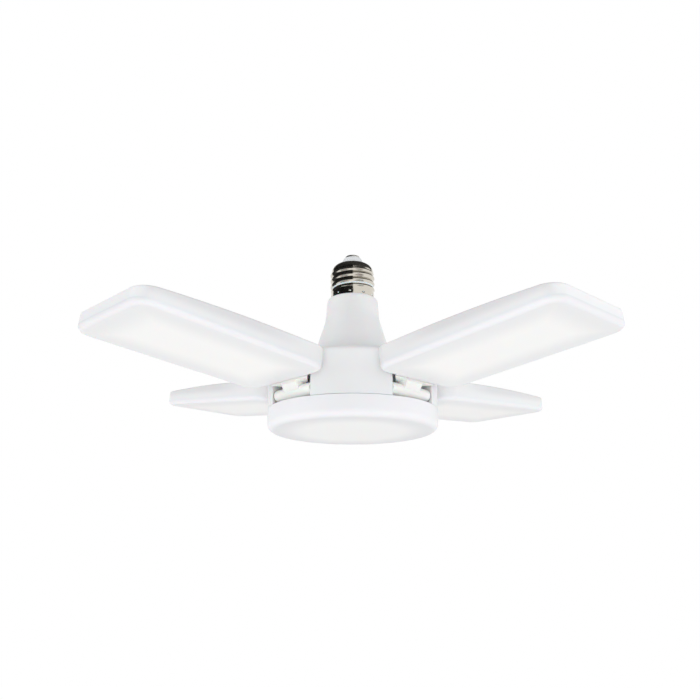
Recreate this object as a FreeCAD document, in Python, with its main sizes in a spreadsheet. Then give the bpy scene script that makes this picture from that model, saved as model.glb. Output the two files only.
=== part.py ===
import FreeCAD, Part

import math
import os
import re

import Sketcher
from FreeCAD import Placement, Rotation, Vector

# A folding ceiling lamp on a screw base: a bell-necked hub carries a round centre light and four flat
# light panels (leaves), each on its own hinge.
# Frame: the origin is on the lamp's axis where the screw shell meets the collar, +Z points up into the
# lamp holder, and the leaves stand at 45, 135, 225 and 315 degrees round the axis. Millimetres.

# ----------------------------------------------------------------------------------------------------
# Driving dimensions
# ----------------------------------------------------------------------------------------------------
SIZES = {
    # screw base
    "thread_radius": 13.15,
    "thread_top": 19.4,
    "shell_wall": 0.5,
    "shell_crown": 2.5,
    "shell_crown_round": 2.2,
    "shell_hole_radius": 6.8,
    "insulator_gap": 0.2,
    "insulator_flange": 0.5,
    "insulator_seat_gap": 0.1,
    "insulator_tip_radius": 5.2,
    "insulator_tip_round": 1.2,
    "insulator_height": 4.3,
    "insulator_foot": 3.4,
    "contact_radius": 4.3,
    "contact_height": 1.3,
    "contact_stem_radius": 1.5,
    "contact_stem_foot": 1.2,
    # hub housing, from the collar down
    "hub_radius": 48.2,
    "hub_wall": 2.2,
    "collar_step": 1.65,
    "collar_round": 2.3,
    "neck_flare": 1.0,
    "neck_round": 22.0,
    "neck_drop": 13.5,
    "bell_flare": 6.6,
    "bell_round": 9.0,
    "bell_drop": 34.5,
    "roof_fall": 7.7,
    "roof_edge_round": 2.6,
    "roof_gap": 0.9,
    "spigot_height": 9.0,
    "spigot_gap": 0.15,
    "spigot_wall": 2.0,
    "boss_inset": 8.2,
    "boss_radius": 3.4,
    "pilot_play": 0.05,
    "pilot_depth": 12.0,
    # centre light
    "rim_height": 11.8,
    "lens_wall": 1.8,
    "rim_round": 4.0,
    "lens_gap": 0.2,
    "plate_thickness": 2.0,
    "board_thickness": 1.2,
    "centre_board_margin": 1.7,
    "led_margin": 8.5,
    "led_height": 0.8,
    "led_length": 3.5,
    "led_width": 2.8,
    "screw_radius": 1.2,
    "screw_play": 0.4,
    "screw_length": 11.0,
    "screw_head_radius": 2.7,
    "screw_head_height": 1.7,
    # hinges
    "pin_inset": 6.2,
    "pin_rise": 4.6,
    "pin_radius": 1.5,
    "pin_play": 0.05,
    "pin_end_gap": 0.15,
    "clamp_half": 0.9,
    "clamp_play": 0.3,
    "knuckle_radius": 3.4,
    "knuckle_clear": 1.1,
    "knuckle_gap": 0.9,
    "notch_half": 15.5,
    "notch_wall": 2.0,
    "notch_clear": 0.6,
    "notch_headroom": 1.2,
    "post_gap": 0.3,
    "washer_thickness": 0.5,
    "washer_radius": 3.3,
    "tilt_limit": 7.0,
    "tilt_front_left": 6.0,
    "tilt_front_right": 6.0,
    "tilt_rear_left": 7.0,
    "tilt_rear_right": 4.3,
    # leaves, measured from their hinge pin
    "leaf_length": 107.8,
    "leaf_width": 63.0,
    "leaf_corner": 9.0,
    "leaf_thickness": 11.8,
    "cover_height": 3.2,
    "room_height": 6.1,
    "leaf_wall": 1.6,
    "back_round": 0.9,
    "back_bend": 70.0,
    "back_fall": 3.7,
    "back_curve": 940.0,
    "leaf_lens_wall": 1.5,
    "leaf_lens_round": 2.6,
    "lip_height": 2.0,
    "lip_wall": 1.0,
    "lip_gap": 0.15,
    "rib_margin": 9.4,
    "rib_end": 9.0,
    "rib_gap": 2.8,
    "rib_floor": 1.8,
    "leaf_board_margin": 1.75,
    "leaf_board_gap": 1.0,
    "leaf_board_seat": 0.02,
    "cut_over": 5.0,
    # knuckle arm and its tongue inside the leaf
    "arm_gap": 0.5,
    "nose_reach": 2.0,
    "nose_half": 6.5,
    "nose_round": 9.0,
    "web_half": 6.0,
    "web_step": 1.0,
    "tongue_inset": 4.0,
    "tongue_length": 13.0,
    "tongue_gap": 0.1,
    "gate_gap": 0.2,
    "leaf_screw_head": 1.2,
    # driver board, its holder on the base plate, and its components
    "driver_side_gap": 21.0,
    "driver_top": 12.0,
    "driver_neck_gap": 4.1,
    "driver_headroom": 3.8,
    "driver_shoulder": 8.0,
    "driver_thickness": 1.6,
    "holder_half": 20.0,
    "holder_height": 3.0,
    "holder_wall": 1.8,
    "holder_gap": 0.1,
    "component_lift": 5.0,
    "transformer_length": 15.0,
    "transformer_depth": 12.0,
    "transformer_height": 14.0,
    "capacitor_radius": 5.0,
    "capacitor_height": 18.0,
    "inductor_radius": 4.5,
    "inductor_height": 8.0,
    "film_length": 12.0,
    "film_depth": 5.0,
    "film_height": 9.0,
    "rectifier_length": 6.0,
    "rectifier_depth": 2.2,
    "rectifier_height": 5.0,
    "resistor_radius": 1.7,
    "resistor_height": 10.0,
    "component_row": 12.0,
    "lead_radius": 0.7,
    "lead_offset": 6.0,
    "lead_rise": 1.0,
    "lead_gap": 0.1,
}

RIB_COUNT = 10
LEAF_ANGLES = {"front_left": 225, "front_right": 315, "rear_right": 45, "rear_left": 135}
LED_RINGS = (8, 16, 24)
LEAF_LED_ROWS = 4
LEAF_LED_COLUMNS = 12

# Levels and places that follow from the driving dimensions, written once and used by name.
PLACES = {
    # screw base and hub, from the collar's top at level 0
    "shell_inside": "thread_radius - shell_wall",
    "shell_top": "thread_top + shell_crown",
    "insulator_bore": "contact_stem_radius + insulator_seat_gap",
    "insulator_radius": "shell_hole_radius - insulator_gap",
    "insulator_low": "shell_top - insulator_foot",
    "insulator_seat": "shell_top + insulator_seat_gap",
    "insulator_tip": "shell_top + insulator_height",
    "contact_top": "insulator_tip + contact_height",
    "stem_low": "insulator_low - contact_stem_foot",
    "spigot_radius": "shell_inside - spigot_gap",
    "spigot_inside": "spigot_radius - spigot_wall",
    "collar_radius": "thread_radius + collar_step",
    "neck_radius": "collar_radius + neck_flare",
    "bell_radius": "neck_radius + bell_flare",
    "hub_inside": "hub_radius - hub_wall",
    "roof_edge": "-bell_drop - roof_fall",
    "rim_top": "notch_roof - leaf_top - notch_headroom - pin_rise",
    "lamp_low": "rim_top - rim_height",
    "boss_circle": "hub_radius - boss_inset",
    "pilot_radius": "screw_radius + pilot_play",
    "screw_hole_radius": "screw_radius + screw_play",
    # centre light
    "plate_low": "rim_top - plate_thickness",
    "board_low": "plate_low - board_thickness",
    "lens_inside": "hub_radius - lens_wall",
    "plate_radius": "lens_inside - lens_gap",
    "centre_board_radius": "plate_radius - centre_board_margin",
    # hinges
    "bore_radius": "pin_radius + pin_play",
    "pin_circle": "hub_radius - pin_inset",
    "pin_level": "rim_top + pin_rise",
    "pin_length": "2 * (notch_half + notch_wall - pin_end_gap)",
    "notch_roof": "roof_edge - roof_gap - notch_wall",
    "notch_inner": "pin_circle - knuckle_radius - leaf_ceiling * sin(tilt_limit) - notch_clear",
    "post_face": "sqrt(hub_radius ^ 2 - notch_half ^ 2)",
    "notch_outer_half": "notch_half + notch_wall",
    "knuckle_half": "notch_half - knuckle_gap",
    "arm_half": "notch_half - arm_gap",
    "tongue_half": "arm_half - tongue_inset",
    "arm_end": "leaf_start - tongue_gap",
    # leaves
    "leaf_start": "(post_face + post_gap - pin_circle + leaf_top * sin(tilt_limit)) / cos(tilt_limit)",
    "leaf_end": "leaf_start + leaf_length",
    "leaf_half": "leaf_width / 2",
    "leaf_lift": "knuckle_radius + knuckle_clear",
    "leaf_top": "leaf_lift + leaf_thickness",
    "leaf_seam": "leaf_lift + cover_height",
    "leaf_ceiling": "leaf_lift + room_height",
    "lip_inset": "leaf_wall + lip_gap",
    "lens_room": "lip_inset + lip_wall",
    "leaf_board_inset": "lens_room + leaf_board_margin",
    "leaf_board_low": "leaf_ceiling - leaf_board_seat - board_thickness",
    "leaf_board_start": "leaf_start + tongue_length + leaf_board_gap",
    "rib_field": "leaf_width - 2 * rib_margin - rib_gap",
    # driver
    "driver_half": "hub_inside - driver_side_gap",
    "driver_neck_half": "neck_radius - hub_wall - driver_neck_gap",
    "driver_shoulder_level": "roof_edge - driver_headroom",
    "component_foot": "rim_top + component_lift",
}

doc = FreeCAD.newDocument("garage_light")
sheet = doc.addObject("Spreadsheet::Sheet", "Size")
for row, (name, number) in enumerate(SIZES.items(), start=1):
    sheet.set(f"A{row}", name)
    sheet.set(f"B{row}", str(number))
    sheet.setAlias(f"B{row}", name)
doc.recompute()


def sized(text):
    """Write a size formula with the sheet's cells, for setExpression."""
    def cell(match):
        word = match.group()
        if word in PLACES:
            return "(" + sized(PLACES[word]) + ")"
        return "Size." + word if word in SIZES else word
    return re.sub(r"[a-z_]+", cell, text)


def value(text):
    """The number that a size formula gives now."""
    return float(sheet.evalExpression(sized(text)))


# ----------------------------------------------------------------------------------------------------
# Sketches and features
# ----------------------------------------------------------------------------------------------------
def new_body(label):
    body = doc.addObject("PartDesign::Body", label)
    body.Label = label
    return body


def new_sketch(body, plane, name, lift="0", turn=0.0):
    """A sketch on one of the body's own planes, lifted along its normal and turned in the plane."""
    support = next(f for f in body.Origin.OriginFeatures if f.Role == plane)
    sketch = body.newObject("Sketcher::SketchObject", name)
    sketch.AttachmentSupport = [(support, "")]
    sketch.MapMode = "FlatFace"
    sketch.AttachmentOffset = Placement(Vector(0, 0, value(lift)), Rotation(Vector(0, 0, 1), turn))
    if lift != "0":
        sketch.setExpression("AttachmentOffset.Base.z", sized(lift))
    return sketch


def dimension(sketch, constraint, text):
    """Add a constraint whose size is bound to the sheet."""
    index = sketch.addConstraint(constraint)
    sketch.setExpression(f"Constraints[{index}]", sized(text))


def pin_down(sketch, geometry, end, across, up):
    """Fix one point of the sketch at formulas for its two coordinates."""
    for kind, axis, text in (("DistanceX", -2, across), ("DistanceY", -1, up)):
        if text == "0":
            sketch.addConstraint(Sketcher.Constraint("PointOnObject", geometry, end, axis))
        else:
            dimension(sketch, Sketcher.Constraint(kind, -1, 1, geometry, end, value(text)), text)


def rounded_corner(before, corner, after, radius):
    """Where the arc of a rounded corner starts and ends, its centre, and the way it turns."""
    back = (before - corner).normalize()
    ahead = (after - corner).normalize()
    half = back.getAngle(ahead) / 2
    reach = radius / math.tan(half)
    middle = (back + ahead).normalize()
    centre = corner + middle * (radius / math.sin(half))
    left_turn = (corner - before).cross(after - corner).z > 0
    return corner + back * reach, corner + ahead * reach, centre, left_turn


def add_arc(sketch, start, end, centre, left_turn):
    """An arc of a circle, and which of its ends comes first along the outline."""
    first, last = (start, end) if left_turn else (end, start)
    angle_first = math.atan2(first.y - centre.y, first.x - centre.x)
    angle_last = math.atan2(last.y - centre.y, last.x - centre.x)
    circle = Part.Circle(centre, Vector(0, 0, 1), (start - centre).Length)
    arc = sketch.addGeometry(Part.ArcOfCircle(circle, angle_first, angle_last))
    return (arc, 1, 2) if left_turn else (arc, 2, 1)


def outline(sketch, corners, closed=True):
    """Lines through the corners, each (across, up) or (across, up, radius of its rounding)."""
    points = [Vector(value(c[0]), value(c[1]), 0) for c in corners]
    count = len(corners)
    ends = [None] * count
    for i, corner in enumerate(corners):
        inner = closed or 0 < i < count - 1
        if len(corner) == 3 and inner:
            ends[i] = rounded_corner(points[i - 1], points[i], points[(i + 1) % count], value(corner[2]))
    lines = []
    for i in range(count if closed else count - 1):
        j = (i + 1) % count
        start = ends[i][1] if ends[i] else points[i]
        end = ends[j][0] if ends[j] else points[j]
        lines.append(sketch.addGeometry(Part.LineSegment(start, end)))
    for i, corner in enumerate(corners):
        across, up = corner[0], corner[1]
        if not closed and i in (0, count - 1):
            line, end = (lines[0], 1) if i == 0 else (lines[-1], 2)
            pin_down(sketch, line, end, across, up)
            continue
        before, after = lines[i - 1], lines[i]
        if ends[i] is None:
            sketch.addConstraint(Sketcher.Constraint("Coincident", before, 2, after, 1))
            pin_down(sketch, after, 1, across, up)
            continue
        point = sketch.addGeometry(Part.Point(points[i]), True)
        pin_down(sketch, point, 1, across, up)
        sketch.addConstraint(Sketcher.Constraint("PointOnObject", point, 1, before))
        sketch.addConstraint(Sketcher.Constraint("PointOnObject", point, 1, after))
        arc, arc_start, arc_end = add_arc(sketch, *ends[i])
        sketch.addConstraint(Sketcher.Constraint("Tangent", before, 2, arc, arc_start))
        sketch.addConstraint(Sketcher.Constraint("Tangent", arc, arc_end, after, 1))
        radius = (ends[i][0] - ends[i][2]).Length
        dimension(sketch, Sketcher.Constraint("Radius", arc, radius), corner[2])


def circle(sketch, across, up, radius):
    """A circle at formulas for its centre and radius."""
    centre = Vector(value(across), value(up), 0)
    index = sketch.addGeometry(Part.Circle(centre, Vector(0, 0, 1), value(radius)))
    if across == "0" and up == "0":
        sketch.addConstraint(Sketcher.Constraint("Coincident", index, 3, -1, 1))
    else:
        pin_down(sketch, index, 3, across, up)
    dimension(sketch, Sketcher.Constraint("Radius", index, value(radius)), radius)


def box(sketch, left, right, low, high, rounding=None):
    """A rectangle between four formulas, with its corners rounded or sharp."""
    extra = (rounding,) if rounding else ()
    outline(sketch, [(x, y) + extra for x, y in ((left, low), (right, low), (right, high), (left, high))])


def revolve(body, name, corners):
    """Turn an outline of (radius, height) corners round the lamp's axis."""
    sketch = new_sketch(body, "XZ_Plane", name + "_outline")
    outline(sketch, corners)
    feature = body.newObject("PartDesign::Revolution", name)
    feature.Profile = sketch
    feature.ReferenceAxis = (sketch, ["V_Axis"])
    feature.Angle = 360
    doc.recompute()
    return feature


def extrude(body, name, kind, sketch, length, both_ways=False, reverse=False):
    """A Pad or a Pocket of a sketch."""
    feature = body.newObject("PartDesign::" + kind, name)
    feature.Profile = sketch
    feature.setExpression("Length", sized(length))
    if both_ways:
        feature.SideType = "Symmetric"
    feature.Reversed = reverse
    doc.recompute()
    return feature


def cuts(feature):
    """Make sure that a pocket has taken something away from the body it works on."""
    before = feature.BaseFeature.Shape.Volume
    if not feature.Shape.Volume < before - 1e-3:
        raise RuntimeError(f"{feature.Label} cuts nothing")
    return feature


def four_round(body, name, features):
    """Repeat features at each quarter turn round the lamp's axis."""
    pattern = body.newObject("PartDesign::PolarPattern", name)
    pattern.Originals = features
    pattern.Axis = (next(f for f in body.Origin.OriginFeatures if f.Role == "Z_Axis"), [""])
    pattern.Angle = 360
    pattern.Occurrences = 4
    body.Tip = pattern
    doc.recompute()
    return pattern


def round_edges(body, name, radius, wanted):
    """Fillet the edges of the body's tip that a test picks."""
    tip = body.Tip
    edges = [f"Edge{i}" for i, edge in enumerate(tip.Shape.Edges, start=1) if wanted(edge)]
    if not edges:
        raise RuntimeError(f"{name} finds no edge")
    feature = body.newObject("PartDesign::Fillet", name)
    feature.Base = (tip, edges)
    feature.setExpression("Radius", sized(radius))
    doc.recompute()
    return feature


def lies_at(edge, height):
    """True for an edge that lies flat at a height."""
    bounds = edge.BoundBox
    return abs(bounds.ZMin - height) < 1e-4 and abs(bounds.ZMax - height) < 1e-4


def group(label, solids):
    """One sub-part made of several separate solids of the same kind."""
    item = doc.addObject("Part::Feature", label)
    item.Label = label
    item.Shape = Part.makeCompound(solids)
    return item


# ----------------------------------------------------------------------------------------------------
# Screw base
# ----------------------------------------------------------------------------------------------------
def make_screw_shell():
    """A thin metal cup; its straight side is the envelope of the rolled thread."""
    body = new_body("screw_shell")
    revolve(body, "shell_wall_turned", [
        ("shell_inside", "0"),
        ("thread_radius", "0"),
        ("thread_radius", "thread_top", "shell_crown_round"),
        ("shell_hole_radius", "shell_top"),
        ("shell_hole_radius", "shell_top - shell_wall"),
        ("shell_inside", "thread_top - shell_wall", "shell_crown_round - shell_wall"),
    ])
    return body


def make_base_insulator():
    """The moulded white cone between the screw shell and the centre contact."""
    body = new_body("base_insulator")
    revolve(body, "insulator_turned", [
        ("insulator_bore", "insulator_low"),
        ("insulator_radius", "insulator_low"),
        ("insulator_radius", "insulator_seat"),
        ("insulator_radius + insulator_flange", "insulator_seat"),
        ("insulator_tip_radius", "insulator_tip", "insulator_tip_round"),
        ("insulator_bore", "insulator_tip"),
    ])
    return body


def make_centre_contact():
    """A button with a slightly crowned face and a stem that takes the live lead."""
    body = new_body("centre_contact")
    revolve(body, "contact_turned", [
        ("0", "stem_low"),
        ("contact_stem_radius", "stem_low"),
        ("contact_stem_radius", "insulator_tip"),
        ("contact_radius", "insulator_tip"),
        ("contact_radius", "contact_top", "contact_height / 2"),
        ("0", "contact_top"),
    ])
    return body


# ----------------------------------------------------------------------------------------------------
# Hub housing
# ----------------------------------------------------------------------------------------------------
def make_hub_housing():
    """The moulded hub: spigot, collar, bell, roof and outer wall turned as one shell; then four hinge
    notches let into the wall as boxes of their own, slots for the pins, and four screw bosses."""
    body = new_body("hub_housing")
    revolve(body, "bell_and_wall", [
        ("spigot_inside", "spigot_height"),
        ("spigot_radius", "spigot_height"),
        ("spigot_radius", "0"),
        ("collar_radius", "0", "collar_round"),
        ("neck_radius", "-neck_drop", "neck_round"),
        ("bell_radius", "-bell_drop", "bell_round"),
        ("hub_radius", "roof_edge", "roof_edge_round"),
        ("hub_radius", "rim_top"),
        ("hub_inside", "rim_top"),
        ("hub_inside", "roof_edge - hub_wall * 1.2", "hub_wall * 0.7"),
        ("bell_radius - hub_wall * 0.8", "-bell_drop - hub_wall", "bell_round - hub_wall"),
        ("neck_radius - hub_wall", "-neck_drop", "neck_round - hub_wall"),
        ("spigot_inside", "-hub_wall"),
    ])
    # notch boxes: two cheeks, a back wall and a lid, closed against the inside of the hub
    shell_sketch = new_sketch(body, "XY_Plane", "notch_box_outline", "rim_top", 45)
    box(shell_sketch, "notch_inner - notch_wall", "hub_inside + hub_wall / 2", "-notch_outer_half",
        "notch_outer_half")
    shell = extrude(body, "notch_box", "Pad", shell_sketch, "notch_roof + notch_wall - rim_top")
    four_round(body, "notch_boxes", [shell])
    # the wall's round face is turned again, where the corners of the boxes stand out of it
    trim_sketch = new_sketch(body, "XZ_Plane", "wall_trim_outline")
    box(trim_sketch, "hub_radius", "hub_radius + hub_wall * 4", "rim_top - 1", "roof_edge - roof_edge_round")
    trim = body.newObject("PartDesign::Groove", "wall_trim")
    trim.Profile = trim_sketch
    trim.ReferenceAxis = (trim_sketch, ["V_Axis"])
    trim.Angle = 360
    doc.recompute()
    cuts(trim)
    mouth_sketch = new_sketch(body, "XY_Plane", "notch_mouth_outline", "rim_top", 45)
    box(mouth_sketch, "notch_inner", "hub_radius + hub_wall", "-notch_half", "notch_half")
    mouth = extrude(body, "notch_mouth", "Pocket", mouth_sketch, "notch_roof - rim_top", reverse=True)
    cuts(mouth)
    four_round(body, "notch_mouths", [mouth])
    # pin slots through both cheeks, open at the bottom
    slot_sketch = new_sketch(body, "XY_Plane", "pin_slot_outline", "rim_top", 45)
    for side in ("", "-"):
        near, far = f"{side}(notch_half - 1)", f"{side}(notch_outer_half + 1)"
        box(slot_sketch, "pin_circle - bore_radius", "pin_circle + bore_radius", near, far)
    slot = extrude(body, "pin_slot", "Pocket", slot_sketch, "pin_level + bore_radius - rim_top", reverse=True)
    cuts(slot)
    four_round(body, "pin_slots", [slot])
    # screw bosses behind the posts, up to the roof
    boss_sketch = new_sketch(body, "XY_Plane", "boss_outline", "rim_top")
    circle(boss_sketch, "boss_circle", "0", "boss_radius")
    boss = extrude(body, "screw_boss", "Pad", boss_sketch, "roof_edge - hub_wall / 2 - rim_top")
    four_round(body, "screw_bosses", [boss])
    pilot_sketch = new_sketch(body, "XY_Plane", "pilot_outline", "rim_top")
    circle(pilot_sketch, "boss_circle", "0", "pilot_radius")
    pilot = extrude(body, "screw_pilot", "Pocket", pilot_sketch, "pilot_depth", reverse=True)
    cuts(pilot)
    four_round(body, "screw_pilots", [pilot])
    return body


def make_base_plate():
    """The round plate that closes the hub: it clamps the pins with eight tongues and holds the driver."""
    body = new_body("base_plate")
    disc_sketch = new_sketch(body, "XY_Plane", "plate_outline", "plate_low")
    circle(disc_sketch, "0", "0", "plate_radius")
    extrude(body, "plate_disc", "Pad", disc_sketch, "plate_thickness")
    tongue_sketch = new_sketch(body, "XY_Plane", "tongue_outline", "plate_low + plate_thickness / 2", 45)
    for side in ("", "-"):
        near, far = f"{side}(notch_half + clamp_play)", f"{side}(notch_outer_half - 2 * clamp_play)"
        box(tongue_sketch, "pin_circle - clamp_half", "pin_circle + clamp_half", near, far)
    tongue = extrude(body, "pin_tongue", "Pad", tongue_sketch, "pin_rise - pin_radius + plate_thickness / 2")
    four_round(body, "pin_tongues", [tongue])
    holder_sketch = new_sketch(body, "XY_Plane", "holder_outline", "plate_low + plate_thickness / 2")
    for side in ("", "-"):
        near = f"{side}(driver_thickness / 2 + holder_gap)"
        far = f"{side}(driver_thickness / 2 + holder_gap + holder_wall)"
        box(holder_sketch, "-holder_half", "holder_half", near, far)
    extrude(body, "driver_holder", "Pad", holder_sketch, "holder_height + plate_thickness / 2")
    hole_sketch = new_sketch(body, "XY_Plane", "hole_outline", "plate_low - 1")
    circle(hole_sketch, "boss_circle", "0", "screw_hole_radius")
    hole = extrude(body, "screw_hole", "Pocket", hole_sketch, "plate_thickness + 2", reverse=True)
    cuts(hole)
    four_round(body, "screw_holes", [hole])
    return body


def make_centre_lens():
    """A milky cup: a thin flat face with a rounded rim, whose wall goes up round the base plate."""
    body = new_body("centre_lens")
    revolve(body, "cup_turned", [
        ("0", "lamp_low"),
        ("hub_radius", "lamp_low", "rim_round"),
        ("hub_radius", "rim_top - lens_gap"),
        ("lens_inside", "rim_top - lens_gap"),
        ("lens_inside", "lamp_low + lens_wall", "rim_round - lens_wall"),
        ("0", "lamp_low + lens_wall"),
    ])
    return body


def make_centre_board():
    """The round LED board under the base plate."""
    body = new_body("centre_led_board")
    sketch = new_sketch(body, "XY_Plane", "board_outline", "board_low")
    circle(sketch, "0", "0", "centre_board_radius")
    for across, up in (("boss_circle", "0"), ("0", "boss_circle"), ("-boss_circle", "0"), ("0", "-boss_circle")):
        circle(sketch, across, up, "screw_hole_radius")
    extrude(body, "board_disc", "Pad", sketch, "board_thickness")
    return body


def make_centre_leds():
    """Rings of light-emitting diodes on the underside of the round board."""
    length, width, height = value("led_length"), value("led_width"), value("led_height")
    solids = []
    for ring, count in enumerate(LED_RINGS, start=1):
        radius = value("centre_board_radius - led_margin") * ring / len(LED_RINGS)
        for i in range(count):
            chip = Part.makeBox(length, width, height, Vector(radius - length / 2, -width / 2, 0))
            chip.rotate(Vector(0, 0, 0), Vector(0, 0, 1), (i + 0.5) * 360 / count)
            chip.translate(Vector(0, 0, value("board_low - led_height")))
            solids.append(chip)
    return group("centre_leds", solids)


def make_housing_screws():
    """Four screws that hold the round board and the base plate to the hub's bosses."""
    solids = []
    for i in range(4):
        head = Part.makeCylinder(value("screw_head_radius"), value("screw_head_height"),
                                 Vector(value("boss_circle"), 0, value("board_low - screw_head_height")))
        shank = Part.makeCylinder(value("screw_radius"), value("screw_length"),
                                  Vector(value("boss_circle"), 0, value("board_low")))
        screw = head.fuse(shank).removeSplitter()
        screw.rotate(Vector(0, 0, 0), Vector(0, 0, 1), 90 * i)
        solids.append(screw)
    return group("housing_screws", solids)


# ----------------------------------------------------------------------------------------------------
# Driver
# ----------------------------------------------------------------------------------------------------
def make_driver_board():
    """An upright circuit board, wide in the hub and narrow in the bell."""
    body = new_body("driver_board")
    sketch = new_sketch(body, "XZ_Plane", "driver_outline")
    outline(sketch, [
        ("-driver_half", "rim_top"),
        ("driver_half", "rim_top"),
        ("driver_half", "driver_shoulder_level"),
        ("driver_neck_half", "driver_shoulder_level + driver_shoulder"),
        ("driver_neck_half", "-driver_top"),
        ("-driver_neck_half", "-driver_top"),
        ("-driver_neck_half", "driver_shoulder_level + driver_shoulder"),
        ("-driver_half", "driver_shoulder_level"),
    ])
    extrude(body, "driver_sheet", "Pad", sketch, "driver_thickness", both_ways=True)
    return body


def component_block(label, kind, centre, foot, front=True):
    """A box-shaped component, centred along the board and standing on one of its faces."""
    length, depth, height = (value(f"{kind}_{name}") for name in ("length", "depth", "height"))
    face = value("driver_thickness / 2") if front else -value("driver_thickness / 2") - depth
    item = doc.addObject("Part::Box", label)
    item.Label = label
    item.setExpression("Length", sized(kind + "_length"))
    item.setExpression("Width", sized(kind + "_depth"))
    item.setExpression("Height", sized(kind + "_height"))
    item.Placement = Placement(Vector(centre - length / 2, face, foot), Rotation())
    return item


def component_can(label, kind, place, turn=0.0):
    """A round component: a can that stands along the board or sticks out of it."""
    item = doc.addObject("Part::Cylinder", label)
    item.Label = label
    item.setExpression("Radius", sized(kind + "_radius"))
    item.setExpression("Height", sized(kind + "_height"))
    item.Placement = Placement(place, Rotation(Vector(1, 0, 0), turn))
    return item


def make_driver_parts():
    """The components that stand on the two faces of the driver board."""
    face = value("driver_thickness / 2")
    foot = value("component_foot")
    row = value("component_row")
    middle = value("driver_shoulder_level") + value("driver_shoulder")
    return [
        component_block("transformer", "transformer", -row, foot),
        component_block("film_capacitor", "film", -row, foot, front=False),
        component_block("bridge_rectifier", "rectifier", 0, middle, front=False),
        component_can("bulk_capacitor", "capacitor", Vector(row, face + value("capacitor_radius"), foot)),
        component_can("inductor", "inductor", Vector(row, -face, foot + row / 2), turn=90),
        component_can("fuse_resistor", "resistor", Vector(0, face + value("resistor_radius"), middle)),
    ]


def make_leads():
    """The live lead from the contact's stem and the neutral lead to the shell, both to the board."""
    live = doc.addObject("Part::Cylinder", "live_lead")
    live.setExpression("Radius", sized("lead_radius"))
    live.setExpression("Height", sized("stem_low + driver_top"))
    live.Placement = Placement(Vector(0, 0, value("-driver_top")), Rotation())
    body = new_body("neutral_lead")
    sketch = new_sketch(body, "XZ_Plane", "lead_outline")
    inner, outer, top = "lead_offset", "lead_offset + 2 * lead_radius", "spigot_height + lead_rise"
    outline(sketch, [
        (inner, "-driver_top"),
        (outer, "-driver_top"),
        (outer, top, "lead_radius"),
        ("shell_inside - lead_gap", top),
        ("shell_inside - lead_gap", top + " + 2 * lead_radius"),
        (inner, top + " + 2 * lead_radius", "3 * lead_radius"),
    ])
    extrude(body, "lead_strip", "Pad", sketch, "lead_radius * 2", both_ways=True)
    return [live, body]


# ----------------------------------------------------------------------------------------------------
# Hinges and leaves. Each piece is drawn about its own hinge pin: X out along the leaf, Y along the pin.
# ----------------------------------------------------------------------------------------------------
def hinge_place(angle, tilt):
    """Where a hinge's pieces go: turned round the lamp, out to the pin, and tilted about it."""
    turn = Rotation(Vector(0, 0, 1), angle)
    lean = Rotation(Vector(0, 1, 0), -tilt)
    out = turn.multVec(Vector(value("pin_circle"), 0, 0))
    return Placement(out + Vector(0, 0, value("pin_level")), turn.multiply(lean))


def make_hinge_pin(side):
    """A plain steel pin held in the slots of the hub."""
    pin = doc.addObject("Part::Cylinder", "hinge_pin_" + side)
    pin.setExpression("Radius", sized("pin_radius"))
    pin.setExpression("Height", sized("pin_length"))
    place = hinge_place(LEAF_ANGLES[side], 0)
    across = Placement(Vector(0, value("pin_length") / 2, 0), Rotation(Vector(1, 0, 0), 90))
    pin.Placement = place.multiply(across)
    return pin


def make_hinge_washers(side):
    """Two friction washers, one at each end of the knuckle."""
    gap = value("(notch_half - knuckle_half - washer_thickness) / 2")
    solids = []
    for start in (value("knuckle_half") + gap, -value("knuckle_half + washer_thickness") - gap):
        ring = Part.makeCylinder(value("washer_radius"), value("washer_thickness"), Vector(0, start, 0),
                                 Vector(0, 1, 0))
        hole = Part.makeCylinder(value("bore_radius"), value("washer_thickness"), Vector(0, start, 0),
                                 Vector(0, 1, 0))
        solids.append(ring.cut(hole))
    item = group("hinge_washers_" + side, solids)
    item.Placement = hinge_place(LEAF_ANGLES[side], 0)
    return item


def make_hinge_knuckle(side):
    """A barrel on the pin, a rounded nose level with the leaf's cover, a web that joins the two, and a
    tongue that is screwed up inside the leaf."""
    body = new_body("hinge_knuckle_" + side)
    nose_sketch = new_sketch(body, "XY_Plane", "nose_outline", "leaf_lift")
    outline(nose_sketch, [
        ("-nose_reach", "-nose_half", "nose_round"),
        ("arm_end", "-arm_half"),
        ("arm_end", "arm_half"),
        ("-nose_reach", "nose_half", "nose_round"),
    ])
    extrude(body, "nose", "Pad", nose_sketch, "leaf_ceiling - tongue_gap - leaf_lift")
    web_sketch = new_sketch(body, "XZ_Plane", "web_outline")
    outline(web_sketch, [
        ("-nose_reach", "0"),
        ("knuckle_radius", "0"),
        ("arm_end", "leaf_lift - web_step"),
        ("arm_end", "leaf_seam"),
        ("-nose_reach", "leaf_seam"),
    ])
    extrude(body, "web", "Pad", web_sketch, "2 * web_half", both_ways=True)
    tongue_sketch = new_sketch(body, "XY_Plane", "tongue_outline", "leaf_seam + tongue_gap")
    box(tongue_sketch, "0", "leaf_start + tongue_length", "-tongue_half", "tongue_half")
    extrude(body, "tongue", "Pad", tongue_sketch, "leaf_ceiling - leaf_seam - 2 * tongue_gap")
    barrel_sketch = new_sketch(body, "XZ_Plane", "barrel_outline")
    circle(barrel_sketch, "0", "0", "knuckle_radius")
    extrude(body, "barrel", "Pad", barrel_sketch, "2 * knuckle_half", both_ways=True)
    bore_sketch = new_sketch(body, "XZ_Plane", "bore_outline")
    circle(bore_sketch, "0", "0", "bore_radius")
    cuts(extrude(body, "bore", "Pocket", bore_sketch, "2 * knuckle_half + 2", both_ways=True))
    body.Placement = hinge_place(LEAF_ANGLES[side], value("tilt_" + side))
    return body


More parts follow.
